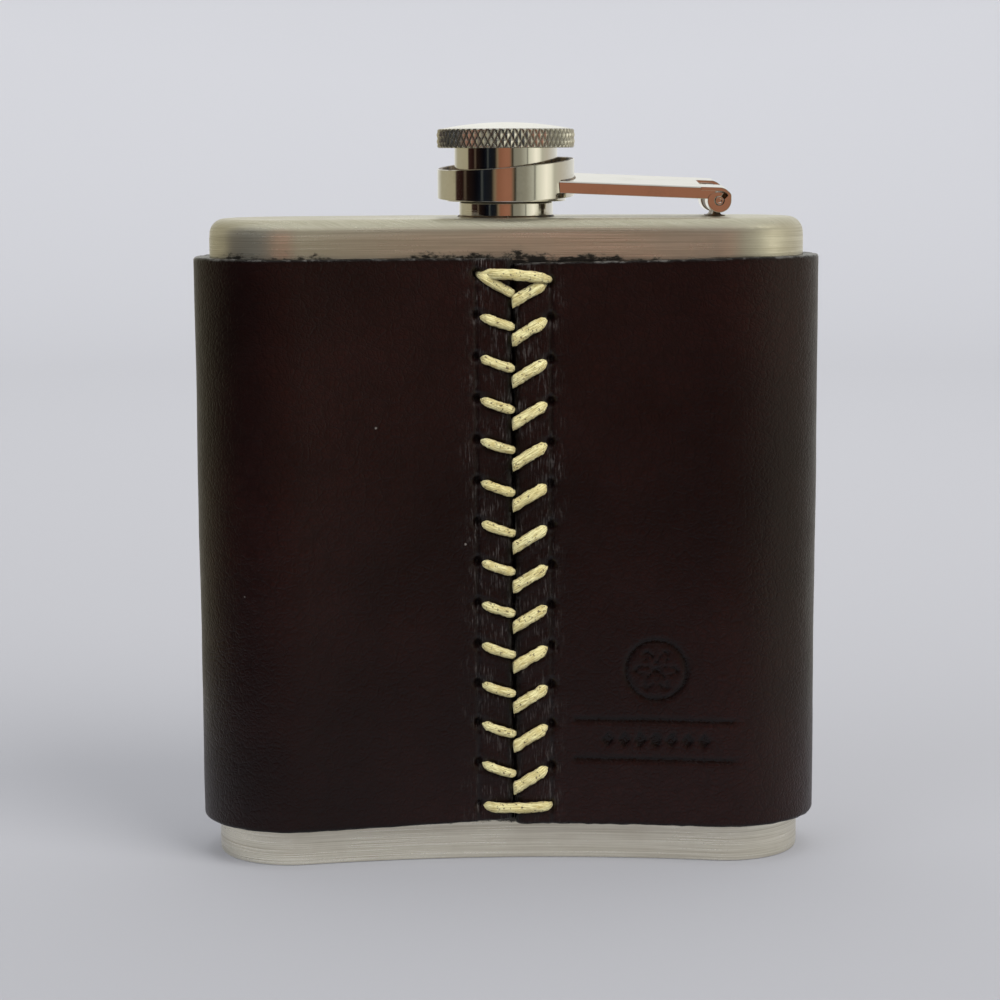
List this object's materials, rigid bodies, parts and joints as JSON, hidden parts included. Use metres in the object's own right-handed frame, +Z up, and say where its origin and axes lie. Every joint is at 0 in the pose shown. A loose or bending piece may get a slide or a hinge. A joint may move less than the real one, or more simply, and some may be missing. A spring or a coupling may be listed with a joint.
{
  "type": "hip flask",
  "caption": "Curved steel hip flask with a laced leather wrap, a threaded spout and a captive knurled screw cap on a hinged arm.",
  "frame": {"origin": "bottom centre of the whole flask's box, on the surface it stands on", "axes": "+Z up along the neck, +X towards the cap's hinge, -Y towards the hollow front with the laced seam"},
  "size_m": [0.0968, 0.0322, 0.1142],
  "materials": {
    "brushed_body": "satin, brushed level round the body, with fine scratches",
    "bright_fittings": "mirror polished",
    "knurled_cap": "polished, with a diamond knurl round the head",
    "dark_steel": "dull, heat-tinted by welding",
    "wrap_leather": "smooth dark brown bridle leather with black painted edges",
    "waxed_thread": "twisted waxed thread",
    "seal_rubber": "white food-grade rubber"
  },
  "bodies": {
    "root": {"body_wall": "brushed_body", "top_end": "brushed_body", "bottom_end": "brushed_body", "neck": "bright_fittings", "neck_weld": "dark_steel", "hinge_bracket": "dark_steel", "hinge_pin": "bright_fittings", "leather_wrap": "wrap_leather", "stitches_left": "waxed_thread", "stitches_right": "waxed_thread", "top_lock_stitch": "waxed_thread", "bottom_lock_stitch": "waxed_thread"},
    "arm": {"hinge_arm": "bright_fittings", "collar_ring": "bright_fittings", "ring_braze": "dark_steel"},
    "cap_slide": {"retaining_washer": "bright_fittings"},
    "cap": {"cap_head": "knurled_cap", "cap_skirt": "bright_fittings", "thread_insert": "dark_steel", "cap_gasket": "seal_rubber"}
  },
  "joints": [
    {"name": "arm_hinge", "type": "hinge", "parent": "root", "child": "arm", "pos_m": [0.0326, 0.00164, 0.10205], "axis": [0, 1, 0], "range_deg": [0, 125]},
    {"name": "cap_lift", "type": "slide", "parent": "arm", "child": "cap_slide", "axis": [0, 0, 1], "range_m": [0, 0.0019]},
    {"name": "cap_turn", "type": "hinge", "parent": "cap_slide", "child": "cap", "pos_m": [0, 0.00164, 0.106], "axis": [0, 0, 1], "range_deg": [0, 540]}
  ],
  "couplings": [
    {"joint": "cap_lift", "follows": "cap_turn", "m_per_rad": 0.00019894}
  ]
}
